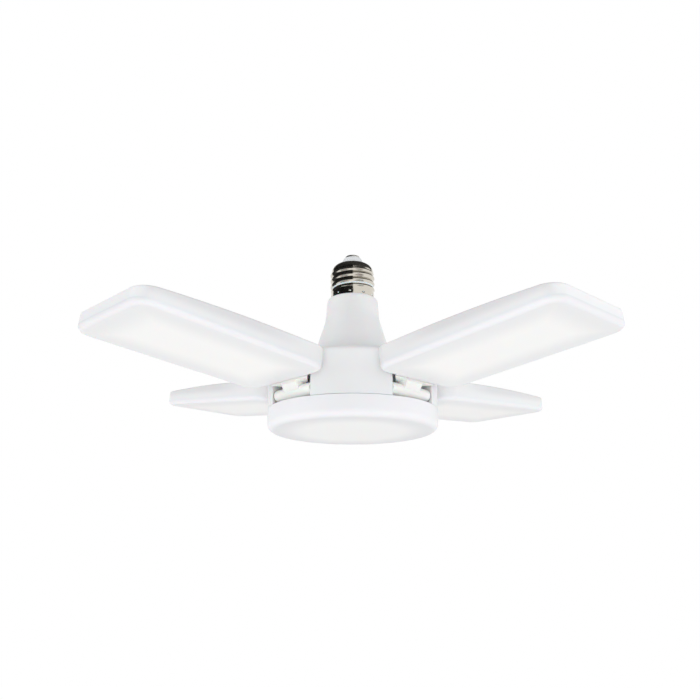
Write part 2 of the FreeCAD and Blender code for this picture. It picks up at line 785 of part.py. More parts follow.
def leaf_plan(sketch, inset):
    """The leaf's outline seen from above, drawn in by an inset."""
    box(sketch, f"leaf_start + {inset}", f"leaf_end - {inset}", f"-leaf_half + {inset}", f"leaf_half - {inset}",
        f"leaf_corner - {inset}")


def rims_the_back(edge):
    """True for an edge round the leaf's back, false for the line where its slope begins."""
    bounds = edge.BoundBox
    high = bounds.ZMin > value("leaf_top - back_fall")
    inside = bounds.XMin > value("leaf_start + leaf_corner") and bounds.XMax < value("leaf_end - leaf_corner")
    return high and not (inside and bounds.XLength < 1)


def make_leaf_housing(side):
    """The leaf's back: a shallow tray whose back falls towards the tip between cooling ribs, with a gap in
    its inner wall for the tongue."""
    body = new_body("leaf_housing_" + side)
    plan = new_sketch(body, "XY_Plane", "tray_outline", "leaf_seam")
    leaf_plan(plan, "0")
    extrude(body, "tray", "Pad", plan, "leaf_top - leaf_seam")
    fall = new_sketch(body, "XZ_Plane", "back_fall_outline")
    outline(fall, [
        ("leaf_start - cut_over", "leaf_top"),
        ("back_bend + leaf_start", "leaf_top", "back_curve"),
        ("leaf_end + cut_over", "leaf_top - back_fall"),
        ("leaf_end + cut_over", "leaf_top + cut_over"),
        ("leaf_start - cut_over", "leaf_top + cut_over"),
    ])
    cuts(extrude(body, "back_slope", "Pocket", fall, "leaf_width + 2", both_ways=True))
    round_edges(body, "back_edge_round", "back_round", rims_the_back)
    hollow = new_sketch(body, "XY_Plane", "hollow_outline", "leaf_seam")
    leaf_plan(hollow, "leaf_wall")
    cuts(extrude(body, "tray_hollow", "Pocket", hollow, "leaf_ceiling - leaf_seam", reverse=True))
    gate = new_sketch(body, "XY_Plane", "tongue_gate_outline", "leaf_seam")
    box(gate, "leaf_start - 1", "leaf_start + leaf_wall + 1", "-tongue_half - gate_gap", "tongue_half + gate_gap")
    cuts(extrude(body, "tongue_gate", "Pocket", gate, "leaf_ceiling - leaf_seam", reverse=True))
    groove = new_sketch(body, "XY_Plane", "rib_gap_outline", "leaf_top")
    low = "-(rib_field + rib_gap) / 2"
    box(groove, "leaf_start + rib_end", "leaf_end - rib_end", low, low + " + rib_gap")
    first = cuts(extrude(body, "rib_gap", "Pocket", groove, "leaf_top - leaf_ceiling - rib_floor"))
    pattern = body.newObject("PartDesign::LinearPattern", "rib_gaps")
    pattern.Originals = [first]
    pattern.Direction = (next(f for f in body.Origin.OriginFeatures if f.Role == "Y_Axis"), [""])
    pattern.Occurrences = RIB_COUNT
    pattern.setExpression("Length", sized("rib_field"))
    body.Tip = pattern
    doc.recompute()
    body.Placement = hinge_place(LEAF_ANGLES[side], value("tilt_" + side))
    return body


def make_leaf_lens(side):
    """The leaf's milky cover: a rounded tray whose lip goes up inside the housing's wall."""
    body = new_body("leaf_lens_" + side)
    plan = new_sketch(body, "XY_Plane", "cover_outline", "leaf_lift")
    leaf_plan(plan, "0")
    extrude(body, "cover", "Pad", plan, "leaf_seam - leaf_lift")
    round_edges(body, "cover_round", "leaf_lens_round", lambda edge: lies_at(edge, value("leaf_lift")))
    lip = new_sketch(body, "XY_Plane", "lip_outline", "leaf_seam")
    leaf_plan(lip, "lip_inset")
    extrude(body, "lip", "Pad", lip, "lip_height")
    hollow = new_sketch(body, "XY_Plane", "cover_hollow_outline", "leaf_seam + lip_height")
    leaf_plan(hollow, "lens_room")
    cuts(extrude(body, "cover_hollow", "Pocket", hollow,
                 "leaf_seam + lip_height - leaf_lift - leaf_lens_wall"))
    gate = new_sketch(body, "XY_Plane", "lip_gate_outline", "leaf_seam + lip_height")
    box(gate, "leaf_start", "leaf_start + lens_room + 1", "-tongue_half - gate_gap", "tongue_half + gate_gap")
    cuts(extrude(body, "lip_gate", "Pocket", gate, "lip_height"))
    body.Placement = hinge_place(LEAF_ANGLES[side], value("tilt_" + side))
    return body


def board_span():
    """The leaf's LED board in its own frame: where it starts and ends, and half its width."""
    start = value("leaf_board_start")
    end = value("leaf_end - leaf_board_inset")
    return start, end, value("leaf_half - leaf_board_inset")


def make_leaf_board(side):
    """The aluminium LED board against the housing's ceiling."""
    body = new_body("leaf_led_board_" + side)
    sketch = new_sketch(body, "XY_Plane", "leaf_board_outline", "leaf_board_low")
    box(sketch, "leaf_board_start", "leaf_end - leaf_board_inset", "-leaf_half + leaf_board_inset",
        "leaf_half - leaf_board_inset", "leaf_corner - leaf_board_inset")
    extrude(body, "leaf_board_sheet", "Pad", sketch, "board_thickness")
    body.Placement = hinge_place(LEAF_ANGLES[side], value("tilt_" + side))
    return body


def make_leaf_leds(side):
    """Rows of light-emitting diodes on the underside of the leaf's board."""
    start, end, half = board_span()
    length, width, height = value("led_length"), value("led_width"), value("led_height")
    step_out = (end - start) / LEAF_LED_COLUMNS
    step_across = 2 * half / LEAF_LED_ROWS
    level = value("leaf_board_low - led_height")
    solids = []
    for column in range(LEAF_LED_COLUMNS):
        for row in range(LEAF_LED_ROWS):
            out = start + (column + 0.5) * step_out - length / 2
            across = -half + (row + 0.5) * step_across - width / 2
            solids.append(Part.makeBox(length, width, height, Vector(out, across, level)))
    item = group("leaf_leds_" + side, solids)
    item.Placement = hinge_place(LEAF_ANGLES[side], value("tilt_" + side))
    return item


def make_leaf_screws(side):
    """Pan heads of the two screws that hold the tongue up against the housing's ceiling."""
    solids = []
    for across in (-0.5, 0.5):
        centre = Vector(value("leaf_start + tongue_length * 0.6"), across * value("tongue_half"),
                        value("leaf_seam + tongue_gap - leaf_screw_head"))
        solids.append(Part.makeCylinder(value("screw_head_radius"), value("leaf_screw_head"), centre))
    item = group("leaf_screws_" + side, solids)
    item.Placement = hinge_place(LEAF_ANGLES[side], value("tilt_" + side))
    return item


# ----------------------------------------------------------------------------------------------------
# Build, check and write
# ----------------------------------------------------------------------------------------------------
parts = [
    make_screw_shell(),
    make_base_insulator(),
    make_centre_contact(),
    make_hub_housing(),
    make_base_plate(),
    make_centre_lens(),
    make_centre_board(),
    make_centre_leds(),
    make_housing_screws(),
    make_driver_board(),
    *make_driver_parts(),
    *make_leads(),
]
for leaf_side in LEAF_ANGLES:
    parts.extend([
        make_hinge_pin(leaf_side),
        make_hinge_washers(leaf_side),
        make_hinge_knuckle(leaf_side),
        make_leaf_housing(leaf_side),
        make_leaf_lens(leaf_side),
        make_leaf_board(leaf_side),
        make_leaf_leds(leaf_side),
        make_leaf_screws(leaf_side),
    ])
doc.recompute()

for item in doc.Objects:
    if "Invalid" in item.State or "Error" in item.State:
        raise RuntimeError(f"{item.Label} did not build: {item.State}")
for part in parts:
    if part.Shape.isNull() or not part.Shape.isValid():
        raise RuntimeError(f"{part.Label} has no valid shape")

os.makedirs("parts", exist_ok=True)
for part in parts:
    part.Shape.exportStep(os.path.join("parts", part.Label + ".step"))
    print(f"{part.Label}: {len(part.Shape.Solids)} solids, {part.Shape.Volume:.1f} mm3")
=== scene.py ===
# %% [markdown]
# # A folding ceiling lamp, looked at from below
#
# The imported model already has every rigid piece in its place. This lesson dresses it: it gives each piece its
# finish, rolls the thread of the screw base, sets up a white studio and puts the camera where the
# photographer stood. Each cell says why it works the way it does, and prints what it made.
#
# All lengths are metres in the lamp's own frame. The origin is where the screw shell meets the collar, and
# +Z points up into the lamp holder.

import math

import bmesh
import bpy
from mathutils import Euler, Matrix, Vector


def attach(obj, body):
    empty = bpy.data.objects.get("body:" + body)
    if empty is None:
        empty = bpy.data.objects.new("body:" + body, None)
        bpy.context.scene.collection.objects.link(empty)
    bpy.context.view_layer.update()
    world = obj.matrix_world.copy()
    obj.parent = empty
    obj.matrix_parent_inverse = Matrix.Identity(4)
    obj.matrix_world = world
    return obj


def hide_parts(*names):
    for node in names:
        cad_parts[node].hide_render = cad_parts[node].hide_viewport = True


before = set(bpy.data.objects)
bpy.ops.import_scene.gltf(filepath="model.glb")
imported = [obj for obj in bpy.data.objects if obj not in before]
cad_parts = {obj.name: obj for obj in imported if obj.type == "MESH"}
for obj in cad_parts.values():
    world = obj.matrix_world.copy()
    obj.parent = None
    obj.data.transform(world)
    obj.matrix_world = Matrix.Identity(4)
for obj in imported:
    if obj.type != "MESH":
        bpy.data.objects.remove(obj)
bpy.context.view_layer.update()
print("pieces in the model:", len(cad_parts))

# %% [markdown]
# ## The start of a finish
#
# Every finish is a Principled shader fed by object coordinates. A picture wrapped round a piece would do too,
# but it would need a map and would blur close up, while a formula stays sharp and sticks to its piece when a
# leaf folds. A node tree is wordy to write, so what all finishes begin with is one helper, and each kind of
# node gets its own where it is first needed.

# %% Write the helper that starts a finish
def new_material(name):
    """An empty node material: itself, its tree, its shader and its object coordinates."""
    material = bpy.data.materials.new(name)
    material.use_nodes = True
    tree = material.node_tree
    shader = tree.nodes["Principled BSDF"]
    coordinates = tree.nodes.new("ShaderNodeTexCoord")
    return material, tree, shader, coordinates.outputs["Object"]


print("pieces that wait for a finish:", len(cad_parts))

# %% [markdown]
# ## Grain and milkiness
#
# A finish that were perfectly even would look like plain computer graphics. Real mouldings and rolled sheet
# are a little glossier in some places than in others, and have a fine grain. Both come from noise: a coarse
# one changes the roughness and a fine one raises a bump, which costs no faces. White and milky plastics also
# let light in under their surface, which the shader calls subsurface.

# %% Add grain and milkiness to a finish
ROUGHNESS_SWING = 0.12
PATCH_SIZE = 20
GRAIN_STRENGTH = 0.25
MOULD_GRAIN = 900.0
MOULD_DEPTH = 0.00002


def noise(tree, vector, scale, detail=2.0):
    """A noise pattern of a given fineness, as a number from 0 to 1."""
    texture = tree.nodes.new("ShaderNodeTexNoise")
    texture.inputs["Scale"].default_value = scale
    texture.inputs["Detail"].default_value = detail
    tree.links.new(vector, texture.inputs["Vector"])
    return texture.outputs["Fac"]


def spread(tree, amount, low, high, smooth=False, start=0.0, end=1.0):
    """Map a number from one range to another."""
    node = tree.nodes.new("ShaderNodeMapRange")
    node.interpolation_type = "SMOOTHSTEP" if smooth else "LINEAR"
    node.inputs["From Min"].default_value = start
    node.inputs["From Max"].default_value = end
    node.inputs["To Min"].default_value = low
    node.inputs["To Max"].default_value = high
    tree.links.new(amount, node.inputs["Value"])
    return node.outputs["Result"]


def add_grain(tree, shader, vector, roughness, scale=MOULD_GRAIN, depth=MOULD_DEPTH):
    """Vary the roughness in patches and raise a faint grain."""
    patches = noise(tree, vector, scale / PATCH_SIZE)
    uneven = spread(tree, patches, roughness * (1 - ROUGHNESS_SWING), roughness * (1 + ROUGHNESS_SWING))
    tree.links.new(uneven, shader.inputs["Roughness"])
    bump = tree.nodes.new("ShaderNodeBump")
    bump.inputs["Strength"].default_value = GRAIN_STRENGTH
    bump.inputs["Distance"].default_value = depth
    tree.links.new(noise(tree, vector, scale), bump.inputs["Height"])
    tree.links.new(bump.outputs["Normal"], shader.inputs["Normal"])


def add_milkiness(shader, weight, reach):
    """Let light in under the surface, as far as the reach."""
    shader.inputs["Subsurface Weight"].default_value = weight
    shader.inputs["Subsurface Scale"].default_value = reach


print("roughness varies by", ROUGHNESS_SWING * 100, "percent each way")

# %% [markdown]
# ## Finishes of one colour
#
# Most pieces have one colour. It is still not laid on evenly: a soft pattern takes it down by a few
# hundredths in places, as small differences in the plastic or the plating do. One function makes all of
# these finishes, so that they differ only in what is said about them, and another hands a finish to pieces.
# The moulded hub and the plate that closes it come first, and the knuckles, whose plastic is warmer.

# %% Dress the mouldings of the hub and the hinges
LEAF_AZIMUTHS = {"front_left": 225, "front_right": 315, "rear_right": 45, "rear_left": 135}
TINT_SIZE = 30
TINT_START = 0.3
TINT_END = 0.7
TINT_SHADE = 0.965
PLASTIC_REACH = 0.003


def blend(tree, amount, first, second):
    """Blend two colours by a number from 0 to 1; each is a colour or another node's output."""
    node = tree.nodes.new("ShaderNodeMix")
    node.data_type = "RGBA"
    tree.links.new(amount, node.inputs["Factor"])
    for colour, socket in ((first, node.inputs["A"]), (second, node.inputs["B"])):
        if isinstance(colour, tuple):
            socket.default_value = (*colour, 1.0)
        else:
            tree.links.new(colour, socket)
    return node.outputs["Result"]


def plain_finish(name, colour, roughness, metallic=0.0, scale=MOULD_GRAIN, depth=MOULD_DEPTH, milky=0.0):
    """A finish of one colour with grain, for plastic, metal or board."""
    material, tree, shader, vector = new_material(name)
    tint = spread(tree, noise(tree, vector, scale / TINT_SIZE), 0.0, 1.0, start=TINT_START, end=TINT_END)
    shade = tuple(part * TINT_SHADE for part in colour)
    tree.links.new(blend(tree, tint, shade, colour), shader.inputs["Base Color"])
    shader.inputs["Metallic"].default_value = metallic
    add_milkiness(shader, milky, PLASTIC_REACH)
    add_grain(tree, shader, vector, roughness, scale, depth)
    return material


def dress(material, *names):
    """Give model pieces a finish; a name may end in * for the same piece on every leaf."""
    count = 0
    for name in names:
        nodes = [name.replace("*", leaf) for leaf in LEAF_AZIMUTHS] if "*" in name else [name]
        for node in nodes:
            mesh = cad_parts[node].data
            mesh.materials.clear()
            mesh.materials.append(material)
            count += 1
    print(material.name, "on", count, "pieces")


dress(plain_finish("white_moulding", (0.820, 0.822, 0.832), 0.45, milky=0.3), "hub_housing", "base_plate")
dress(plain_finish("warm_moulding", (0.93, 0.92, 0.895), 0.50, milky=0.4), "hinge_knuckle_*")

# %% [markdown]
# ## Coordinates of a leaf
#
# A leaf's colours run along it and across it, but object coordinates are the lamp's. A Mapping node of the
# texture kind undoes a move and a turn, so the pin's place, the leaf's direction and its tilt give X out
# along the leaf from its pin, Y across it and Z up from it. The leaves were set one by one, so each has a tilt
# of its own. A map drawn on each leaf would do the same, but this takes four numbers and no unwrapping.

# %% Find the coordinates of a leaf
PIN_CIRCLE = 0.042
PIN_LEVEL = -0.0626
LEAF_TILTS = {"front_left": 6.0, "front_right": 6.0, "rear_right": 4.3, "rear_left": 7.0}
LEAF_START = 0.00597
LEAF_LENGTH = 0.1078
LEAF_END = LEAF_START + LEAF_LENGTH
LEAF_WIDTH = 0.063


def leaf_place(tree, vector, leaf):
    """Three numbers for each point of a leaf: out along it from its pin, across it, and up from it."""
    mapping = tree.nodes.new("ShaderNodeMapping")
    mapping.vector_type = "TEXTURE"
    turn = math.radians(LEAF_AZIMUTHS[leaf])
    mapping.inputs["Location"].default_value = (
        PIN_CIRCLE * math.cos(turn), PIN_CIRCLE * math.sin(turn), PIN_LEVEL)
    mapping.inputs["Rotation"].default_value = (0.0, -math.radians(LEAF_TILTS[leaf]), turn)
    tree.links.new(vector, mapping.inputs["Vector"])
    parts = tree.nodes.new("ShaderNodeSeparateXYZ")
    tree.links.new(mapping.outputs["Vector"], parts.inputs["Vector"])
    return parts.outputs


print("leaves run from", LEAF_START, "to", round(LEAF_END, 5), "metres out from their pins")

# %% [markdown]
# ## The milky covers
#
# The covers are milky plastic over the diodes. Light scatters inside them and escapes at the edges, so a
# cover looks warm and bright in the middle and cooler and greyer towards its rim. Deep subsurface would show
# this by itself but comes out noisy, so the colours are laid on by how far a point lies in from the rim,
# over a little subsurface. That distance is easy to write down: a rectangle's nearest side, or how much
# a point's distance from the axis falls short of the disc's radius.

# %% Dress the covers of the leaves
LEAF_COVER = {"rim": (0.795, 0.795, 0.820), "edge": (0.800, 0.800, 0.806), "middle": (0.905, 0.894, 0.882)}
EDGE_DEPTH = 0.005
MIDDLE_DEPTH = 0.022
COVER_MILK = 0.2
COVER_REACH = 0.002
COVER_GLOSS = 0.35
COVER_ROUGHNESS = 0.42
COVER_GRAIN = 1400.0
COVER_GRAIN_DEPTH = 0.00001


def calculate(tree, operation, first, second=0.0):
    """One step of arithmetic on numbers or on other nodes' outputs."""
    node = tree.nodes.new("ShaderNodeMath")
    node.operation = operation
    for value, socket in ((first, node.inputs[0]), (second, node.inputs[1])):
        if isinstance(value, (int, float)):
            socket.default_value = value
        else:
            tree.links.new(value, socket)
    return node.outputs["Value"]


def finish_cover(tree, shader, vector, depth_in, colours):
    """Colour a cover by how far a point lies in from its rim."""
    near = spread(tree, depth_in, 0.0, 1.0, smooth=True, start=0.0, end=EDGE_DEPTH)
    far = spread(tree, depth_in, 0.0, 1.0, smooth=True, start=EDGE_DEPTH, end=MIDDLE_DEPTH)
    colour = blend(tree, far, blend(tree, near, colours["rim"], colours["edge"]), colours["middle"])
    tree.links.new(colour, shader.inputs["Base Color"])
    add_milkiness(shader, COVER_MILK, COVER_REACH)
    shader.inputs["Specular IOR Level"].default_value = COVER_GLOSS
    add_grain(tree, shader, vector, COVER_ROUGHNESS, COVER_GRAIN, COVER_GRAIN_DEPTH)


def leaf_cover(leaf):
    """The cover of one leaf, by its nearest side."""
    material, tree, shader, vector = new_material("milky_leaf_" + leaf)
    out, across, _ = leaf_place(tree, vector, leaf)
    from_start = calculate(tree, "SUBTRACT", out, LEAF_START)
    from_end = calculate(tree, "SUBTRACT", LEAF_END, out)
    from_side = calculate(tree, "SUBTRACT", LEAF_WIDTH / 2, calculate(tree, "ABSOLUTE", across))
    ends = calculate(tree, "MINIMUM", from_start, from_end)
    finish_cover(tree, shader, vector, calculate(tree, "MINIMUM", ends, from_side), LEAF_COVER)
    return material


for leaf in LEAF_AZIMUTHS:
    dress(leaf_cover(leaf), "leaf_lens_" + leaf)

# %% [markdown]
# ## The round cover
#
# The disc under the hub is the same plastic, and looks a little greyer in the photograph. Only the distance
# is new: the coordinates are flattened, so that their length is the distance from the axis.

# %% Dress the round cover
DISC_COVER = {"rim": (0.810, 0.810, 0.835), "edge": (0.735, 0.738, 0.755), "middle": (0.865, 0.862, 0.860)}
HUB_RADIUS = 0.0482
FLAT = (1.0, 1.0, 0.0)


def disc_cover():
    """The round cover, by its distance from the hub's edge."""
    material, tree, shader, vector = new_material("milky_disc")
    flatten = tree.nodes.new("ShaderNodeVectorMath")
    flatten.operation = "MULTIPLY"
    flatten.inputs[1].default_value = FLAT
    tree.links.new(vector, flatten.inputs[0])
    length = tree.nodes.new("ShaderNodeVectorMath")
    length.operation = "LENGTH"
    tree.links.new(flatten.outputs["Vector"], length.inputs[0])
    from_edge = calculate(tree, "SUBTRACT", HUB_RADIUS, length.outputs["Value"])
    finish_cover(tree, shader, vector, from_edge, DISC_COVER)
    return material


dress(disc_cover(), "centre_lens")

# %% [markdown]
# ## The leaves' backs
#
# A leaf's back is a shallow white tray whose sides show beside the covers. In the photograph the long sides
# turn greyer upwards and away from the hub, where they lie in shade, and the outer end, which faces the light,
# stays light. Light alone gave less of this, so shade and light are painted into the colour: three ramps
# multiply, so that the painted shade is full only where a point is high, far out and on a long side, and a
# fourth paints light on the end.

# %% Dress the leaves' backs
BACK_WHITE = (0.800, 0.800, 0.812)
# painted shade: the grey laid on the long sides, upwards and away from the hub, where they are in shade
BACK_PAINTED_SHADE = (0.690, 0.690, 0.705)
# painted light: the lighter colour laid on the outer end, which faces the light
BACK_PAINTED_LIGHT = (0.865, 0.865, 0.880)
BACK_RISE = {"start": 0.0085, "end": 0.0135}
BACK_RUN = {"start": 0.015, "end": 0.055}
BACK_SIDE = {"start": 0.029, "end": 0.0312}
BACK_TIP = {"start": LEAF_END - 0.005, "end": LEAF_END - 0.001}
BACK_MILK = 0.2
BACK_REACH = 0.002
BACK_ROUGHNESS = 0.45


def leaf_back(leaf):
    """A leaf's back, with painted shade on its long sides upwards and away from the hub, and painted light on
    its outer end.
    """
    material, tree, shader, vector = new_material("leaf_back_" + leaf)
    out, across, up = leaf_place(tree, vector, leaf)
    high = spread(tree, up, 0.0, 1.0, smooth=True, **BACK_RISE)
    away = spread(tree, out, 0.0, 1.0, smooth=True, **BACK_RUN)
    side = spread(tree, calculate(tree, "ABSOLUTE", across), 0.0, 1.0, **BACK_SIDE)
    # painted shade, full where a point is high, far out and on a long side
    painted_shade = calculate(tree, "MULTIPLY", side, calculate(tree, "MULTIPLY", high, away))
    # painted light on the outer end, which faces the light
    painted_end_light = spread(tree, out, 0.0, 1.0, smooth=True, **BACK_TIP)
    colour = blend(tree, painted_end_light, blend(tree, painted_shade, BACK_WHITE, BACK_PAINTED_SHADE), BACK_PAINTED_LIGHT)
    tree.links.new(colour, shader.inputs["Base Color"])
    add_milkiness(shader, BACK_MILK, BACK_REACH)
    add_grain(tree, shader, vector, BACK_ROUGHNESS)
    return material


for leaf in LEAF_AZIMUTHS:
    dress(leaf_back(leaf), "leaf_housing_" + leaf)

# %% [markdown]
# ## Boards, coils and small metal parts
#
# Inside, the colours follow what such pieces are made of: white solder mask over aluminium, a green board,
# yellow tape round the transformer, zinc on screws and pins, tin on the leads. Of these the photograph shows
# only the insulator, the contact and the end of a pin, so one colour each is enough.

# %% Dress the inner pieces
dress(plain_finish("white_insulator", (0.82, 0.84, 0.86), 0.22), "base_insulator")
dress(plain_finish("contact_metal", (0.80, 0.78, 0.72), 0.50, metallic=1.0), "centre_contact")
dress(plain_finish("white_mask", (0.82, 0.82, 0.80), 0.45), "centre_led_board", "leaf_led_board_*")
dress(plain_finish("phosphor", (0.86, 0.70, 0.22), 0.5), "centre_leds", "leaf_leds_*")
dress(plain_finish("zinc_plate", (0.55, 0.55, 0.57), 0.35, metallic=1.0), "housing_screws", "leaf_screws_*",
      "hinge_pin_*", "hinge_washers_*")
dress(plain_finish("green_board", (0.03, 0.16, 0.06), 0.4), "driver_board")
dress(plain_finish("yellow_tape", (0.80, 0.58, 0.06), 0.35), "transformer")
dress(plain_finish("red_resin", (0.50, 0.04, 0.03), 0.3), "film_capacitor")
dress(plain_finish("black_resin", (0.02, 0.02, 0.022), 0.45), "bridge_rectifier", "inductor")
dress(plain_finish("can_sleeve", (0.02, 0.03, 0.06), 0.3), "bulk_capacitor")
dress(plain_finish("resistor_coat", (0.22, 0.42, 0.34), 0.4), "fuse_resistor")
dress(plain_finish("tinned_wire", (0.70, 0.66, 0.58), 0.35, metallic=1.0), "live_lead", "neutral_lead")

# %% [markdown]
# ## The section of the screw shell
#
# The model's screw shell is plain, as wide as the thread's crests. The real one is thin plated sheet, so it
# needs a skin inside as well as outside. A closed section is drawn on one side of the axis and spun round
# it. The outside has many rings, close enough together to carry a thread, and at the top the sheet curves
# over the insulator.

# %% Spin the plain shell
THREAD_RADIUS = 0.01315
THREAD_DEPTH = 0.00085
THREAD_END = 0.0164
CROWN_RADIUS = THREAD_RADIUS - 0.0006
CROWN_SHAPE = 0.9
CROWN_RINGS = 12
SHELL_TOP = 0.0219
SHELL_HOLE = 0.0068
SHEET = 0.0004
INSIDE = THREAD_RADIUS - THREAD_DEPTH - SHEET
INNER_SHOULDER = (INSIDE - 0.001, THREAD_END + 0.0015)
OUTSIDE_RINGS = 110
AROUND = 180


def shell_section():
    """Radius and height of each point: up the outside, over the crown and down the inside."""
    points = [(THREAD_RADIUS, THREAD_END * i / OUTSIDE_RINGS) for i in range(OUTSIDE_RINGS + 1)]
    for i in range(1, CROWN_RINGS + 1):
        turn = math.pi / 2 * i / CROWN_RINGS
        points.append((SHELL_HOLE + (CROWN_RADIUS - SHELL_HOLE) * math.cos(turn) ** CROWN_SHAPE,
                       THREAD_END + (SHELL_TOP - THREAD_END) * math.sin(turn)))
    return points + [(SHELL_HOLE, SHELL_TOP - SHEET), INNER_SHOULDER, (INSIDE, THREAD_END), (INSIDE, 0.0)]


shell = bmesh.new()
section = [shell.verts.new((radius, 0.0, height)) for radius, height in shell_section()]
edges = [shell.edges.new(pair) for pair in zip(section, section[1:] + section[:1])]
bmesh.ops.spin(shell, geom=section + edges, cent=(0.0, 0.0, 0.0), axis=(0.0, 0.0, 1.0), angle=math.tau,
               steps=AROUND, use_merge=True)
bmesh.ops.recalc_face_normals(shell, faces=shell.faces)
print("plain shell:", len(shell.verts), "points,", len(shell.faces), "faces")

# %% [markdown]
# ## Rolling the thread
#
# A lamp's thread is rolled from thin sheet, so its section is a wave rather than sharp teeth. The Screw
# modifier could sweep one pitch of it, but the sheet also has plain stretches, so each point of the outside
# is moved to its own radius instead, as the rollers do it. A point climbs one pitch for each turn, so the
# wave's phase is its height over the pitch less its angle over a full turn. Near the collar the sheet stays
# plain and carries a ring of punched crimp marks.

# %% Roll the thread and punch the crimps
PITCH = 0.00363
THREAD_START = 0.0038
THREAD_RISE = 0.0018
THREAD_FALL = 0.0012
THREAD_TURN = math.radians(234)
CREST_SHAPE = 0.8
SKIRT_RADIUS = 0.0127
SKIRT_TOP = 0.01
CRIMPS = 10
CRIMP_STEP = math.tau / CRIMPS
CRIMP_TURN = math.radians(13)
CRIMP_LEVEL = 0.0017
CRIMP_WIDTH = 0.0007
CRIMP_HEIGHT = CRIMP_WIDTH * 0.7
CRIMP_DEPTH = 0.00035


def ease(amount):
    """Go from 0 to 1 with a gentle start and end."""
    amount = min(max(amount, 0.0), 1.0)
    return amount * amount * (3 - 2 * amount)


def rolled_radius(angle, height):
    """The outer radius of the rolled shell at an angle and a height."""
    wave = 0.5 + 0.5 * math.cos(math.tau * height / PITCH - angle - THREAD_TURN)
    grown = ease((height - THREAD_START) / THREAD_RISE) * ease((THREAD_END - height) / THREAD_FALL)
    threaded = THREAD_RADIUS - THREAD_DEPTH + THREAD_DEPTH * wave ** CREST_SHAPE
    plain = SKIRT_RADIUS if height < SKIRT_TOP else CROWN_RADIUS
    off = ((angle - CRIMP_TURN + CRIMP_STEP / 2) % CRIMP_STEP - CRIMP_STEP / 2) * SKIRT_RADIUS
    dent = math.exp(-(off / CRIMP_WIDTH) ** 2 - ((height - CRIMP_LEVEL) / CRIMP_HEIGHT) ** 2)
    return plain + (threaded - plain) * grown - CRIMP_DEPTH * dent


moved = 0
for point in shell.verts:
    radius = point.co.xy.length
    if radius > CROWN_RADIUS:
        rolled = rolled_radius(math.atan2(point.co.y, point.co.x), point.co.z)
        point.co.xy = point.co.xy * (rolled / radius)
        moved += 1
print("thread: moved", moved, "points of the outside")

# %% [markdown]
# ## The plated shell
#
# The shell is plated with nickel, a warm grey metal that is smooth enough here to mirror the studio. It takes
# the place of the model's plain shell and rides on the hub, so that it moves with it.

# %% Finish the shell and put it in the plain one's place
NICKEL_GRAIN = 500.0
NICKEL_GRAIN_DEPTH = 0.000004

shell_mesh = bpy.data.meshes.new("threaded_shell")
shell.to_mesh(shell_mesh)
shell.free()
shell_mesh.shade_smooth()
shell_mesh.materials.append(plain_finish("nickel_plate", (0.66, 0.62, 0.545), 0.12, metallic=1.0,
                                         scale=NICKEL_GRAIN, depth=NICKEL_GRAIN_DEPTH))
threaded_shell = bpy.data.objects.new("threaded_shell", shell_mesh)
bpy.context.collection.objects.link(threaded_shell)
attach(threaded_shell, "hub")
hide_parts("screw_shell")
print("threaded shell:", len(threaded_shell.data.vertices), "points")

# %% [markdown]
# ## A white background
#
# The photograph's background is pure white, but white light from everywhere would wash the lamp out. The
# world is therefore full white only for rays that come straight from the camera, off something shiny or
# through something clear, and a plainer grey for the rays that light the lamp.

# %% Set up the background
LIGHT_LEVEL = 0.74
WHITE_LEVEL = 1.0
WHITE = (1.0, 1.0, 1.0, 1.0)


def seen_directly(tree):
    """1 for rays from the camera, off something shiny or through something clear, otherwise 0."""
    path = tree.nodes.new("ShaderNodeLightPath")
    shiny = calculate(tree, "MAXIMUM", path.outputs["Is Glossy Ray"], path.outputs["Is Transmission Ray"])
    return calculate(tree, "MAXIMUM", path.outputs["Is Camera Ray"], shiny)


world = bpy.data.worlds.new("studio")
bpy.context.scene.world = world
world.use_nodes = True
sky = world.node_tree
lighting = sky.nodes["Background"]
lighting.inputs["Color"].default_value = WHITE
lighting.inputs["Strength"].default_value = LIGHT_LEVEL
backdrop = sky.nodes.new("ShaderNodeBackground")
backdrop.inputs["Color"].default_value = WHITE
backdrop.inputs["Strength"].default_value = WHITE_LEVEL
either = sky.nodes.new("ShaderNodeMixShader")
sky.links.new(seen_directly(sky), either.inputs["Fac"])
sky.links.new(lighting.outputs["Background"], either.inputs[1])
sky.links.new(backdrop.outputs["Background"], either.inputs[2])
sky.links.new(either.outputs["Shader"], sky.nodes["World Output"].inputs["Surface"])
print("the world lights at", LIGHT_LEVEL, "and shows at", WHITE_LEVEL)

# %% [markdown]
# ## The floor
#
# The floor is a wide sheet far below the lamp. It sends light back up like white paper. Where it is seen
# directly it glows as well, just enough to meet the white of the world, and the little paint that is left
# in it keeps the lamp's shadow.

# %% Lay the floor
FLOOR_SIZE = 16
FLOOR_LEVEL = -1.3
FLOOR_COLOUR = (0.8, 0.8, 0.8, 1.0)
SHADOW_COLOUR = (0.35, 0.35, 0.35, 1.0)
FLOOR_GLOW = 0.75

